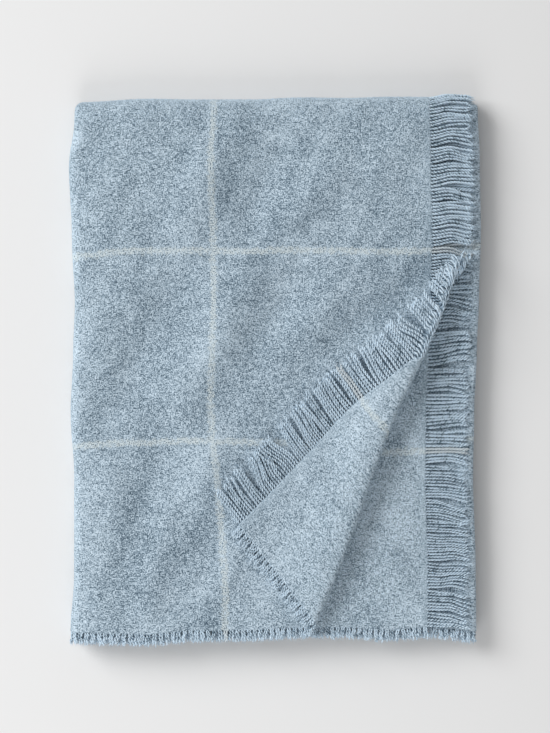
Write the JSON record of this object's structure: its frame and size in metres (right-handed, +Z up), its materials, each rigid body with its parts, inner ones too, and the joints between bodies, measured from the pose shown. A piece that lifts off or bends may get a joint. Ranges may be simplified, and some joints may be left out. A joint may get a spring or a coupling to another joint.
{
  "type": "folded fringed throw blanket",
  "caption": "Pale blue brushed throw with a cream windowpane check and fringe on all sides, folded in layers with a corner of the top layer turned back.",
  "frame": {"origin": "middle of the folded stack's footprint, on the surface it rests on", "axes": "+Z up, +Y from the hemmed front edges towards the thick folded back edge, +X towards the side with the long fringe"},
  "size_m": [0.482, 0.6472, 0.0631],
  "materials": {
    "blanket_cloth": "brushed heathered weave, matt, with soft cream check lines",
    "fringe_yarn": "loosely twisted two-ply yarn, matt"
  },
  "bodies": {
    "root": {"blanket_cloth": "blanket_cloth", "long_fringe_outer": "fringe_yarn", "long_fringe_inner": "fringe_yarn", "short_fringe_upper": "fringe_yarn", "short_fringe_lower": "fringe_yarn"}
  },
  "joints": []
}
